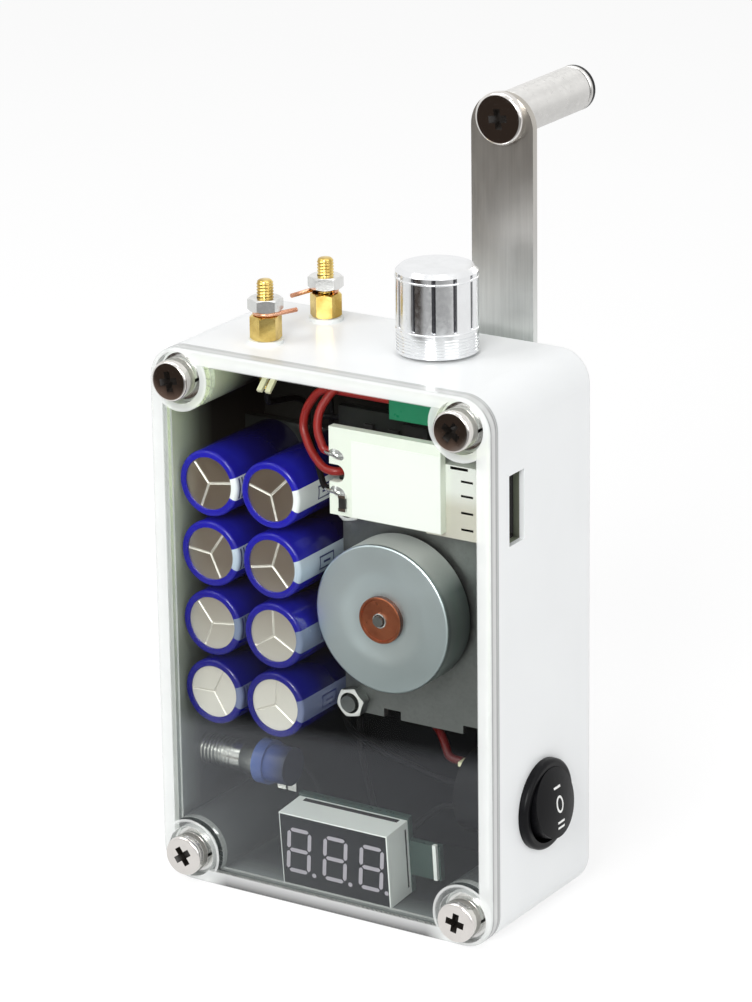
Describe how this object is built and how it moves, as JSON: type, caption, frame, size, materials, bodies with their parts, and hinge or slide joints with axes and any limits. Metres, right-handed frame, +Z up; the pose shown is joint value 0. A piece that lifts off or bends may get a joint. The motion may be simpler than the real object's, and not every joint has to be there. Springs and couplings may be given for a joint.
{
  "type": "hand crank generator",
  "caption": "Hand crank generator in a clear-lidded box with a crank arm at the back, a geared motor, a capacitor bank, a voltmeter, a knob, binding posts, a rocker switch and a USB port.",
  "frame": {"origin": "middle of the box's bottom face, where it stands", "axes": "+Z up, +X to the right seen from the clear lid, -Y out of the clear lid, +Y out of the back where the crank is"},
  "size_m": [0.0727, 0.0656, 0.1428],
  "materials": {
    "white_shell": "satin",
    "clear_window": "clear",
    "grey_rubber": "matte",
    "dark_zinc": "satin",
    "bright_zinc": "satin",
    "brass": "satin",
    "copper": "satin",
    "bronze_bush": "sintered",
    "turned_aluminium": "polished",
    "satin_aluminium": "satin",
    "arm_steel": "brushed",
    "motor_steel": "zinc plated",
    "plate_steel": "satin",
    "rotor_iron": "wound",
    "black_plastic": "satin",
    "white_board": "solder mask",
    "green_board": "solder mask",
    "dark_parts": "moulded",
    "bare_tin": "bright",
    "meter_case": "satin",
    "meter_filter": "smoked",
    "meter_bars": "unlit",
    "blue_sleeve": "shrink film",
    "cap_tops": "scored",
    "blue_body": "satin",
    "pot_case": "plated",
    "red_insulation": "satin",
    "black_insulation": "satin"
  },
  "bodies": {
    "case": {"box_body": "white_shell", "clear_lid": "clear_window", "lid_seal": "grey_rubber", "lid_screws": "dark_zinc", "lid_washers": "bright_zinc", "post_studs": "brass", "post_washers": "meter_case", "post_standoffs": "brass", "post_nuts": "bright_zinc", "post_wire_ends": "copper", "post_lugs": "bare_tin", "pot_body": "pot_case", "pot_nut": "bright_zinc", "pot_board": "green_board", "switch_case": "black_plastic", "switch_terminals": "brass", "motor_can": "motor_steel", "motor_bush": "bronze_bush", "motor_end_plate": "black_plastic", "gearbox_front_plate": "plate_steel", "gearbox_rear_plate": "plate_steel", "gearbox_pillars": "brass", "gearbox_screws": "bright_zinc", "gearbox_nuts": "bright_zinc", "idler_axle": "bright_zinc", "crank_bush": "brass", "crank_bush_nut": "bright_zinc", "usb_board": "white_board", "usb_shell": "bare_tin", "usb_tongue": "black_plastic", "meter_housing": "meter_case", "meter_face": "meter_filter", "meter_segments": "meter_bars", "meter_board": "green_board", "jack_bush": "bare_tin", "jack_body": "blue_body", "jack_lugs": "bare_tin", "cap_cans": "cap_tops", "cap_sleeves": "blue_sleeve", "cap_board": "green_board", "main_board": "green_board", "main_board_parts": "dark_parts", "red_wires": "red_insulation", "black_wires": "black_insulation"},
    "crank": {"crank_shaft": "bright_zinc", "crank_wheel": "brass", "crank_arm": "arm_steel", "crank_nut": "bright_zinc", "handle_screw": "bright_zinc", "handle_washer": "bright_zinc", "handle_cap": "black_plastic"},
    "handle": {"crank_handle": "satin_aluminium"},
    "idler": {"idler_gear": "brass"},
    "rotor": {"motor_rotor": "rotor_iron", "motor_shaft": "bright_zinc", "motor_pinion": "brass"},
    "knob": {"knob": "turned_aluminium", "knob_screw": "dark_zinc", "pot_shaft": "satin_aluminium"},
    "rocker": {"switch_rocker": "black_plastic"}
  },
  "joints": [
    {"name": "crank_spin", "type": "hinge", "parent": "case", "child": "crank", "pos_m": [0.0149, 0.02, 0.048], "axis": [0, 1, 0], "continuous": true},
    {"name": "handle_spin", "type": "hinge", "parent": "crank", "child": "handle", "pos_m": [0.0149, 0.032, 0.1381], "axis": [0, 1, 0], "continuous": true},
    {"name": "idler_spin", "type": "hinge", "parent": "case", "child": "idler", "pos_m": [0.01537, 0.005, 0.06199], "axis": [0, 1, 0], "continuous": true},
    {"name": "rotor_spin", "type": "hinge", "parent": "case", "child": "rotor", "pos_m": [0.0073, -0.004, 0.0538], "axis": [0, 1, 0], "continuous": true},
    {"name": "knob_turn", "type": "hinge", "parent": "case", "child": "knob", "pos_m": [0.01185, 0.0033, 0.108], "axis": [0, 0, 1], "range_deg": [-150, 150]},
    {"name": "rocker_tilt", "type": "hinge", "parent": "case", "child": "rocker", "pos_m": [0.0333, 0, 0.022], "axis": [0, 1, 0], "range_deg": [0, 18]}
  ],
  "couplings": [
    {"joint": "idler_spin", "follows": "crank_spin", "ratio": -3.6667},
    {"joint": "rotor_spin", "follows": "crank_spin", "ratio": 13.2}
  ]
}
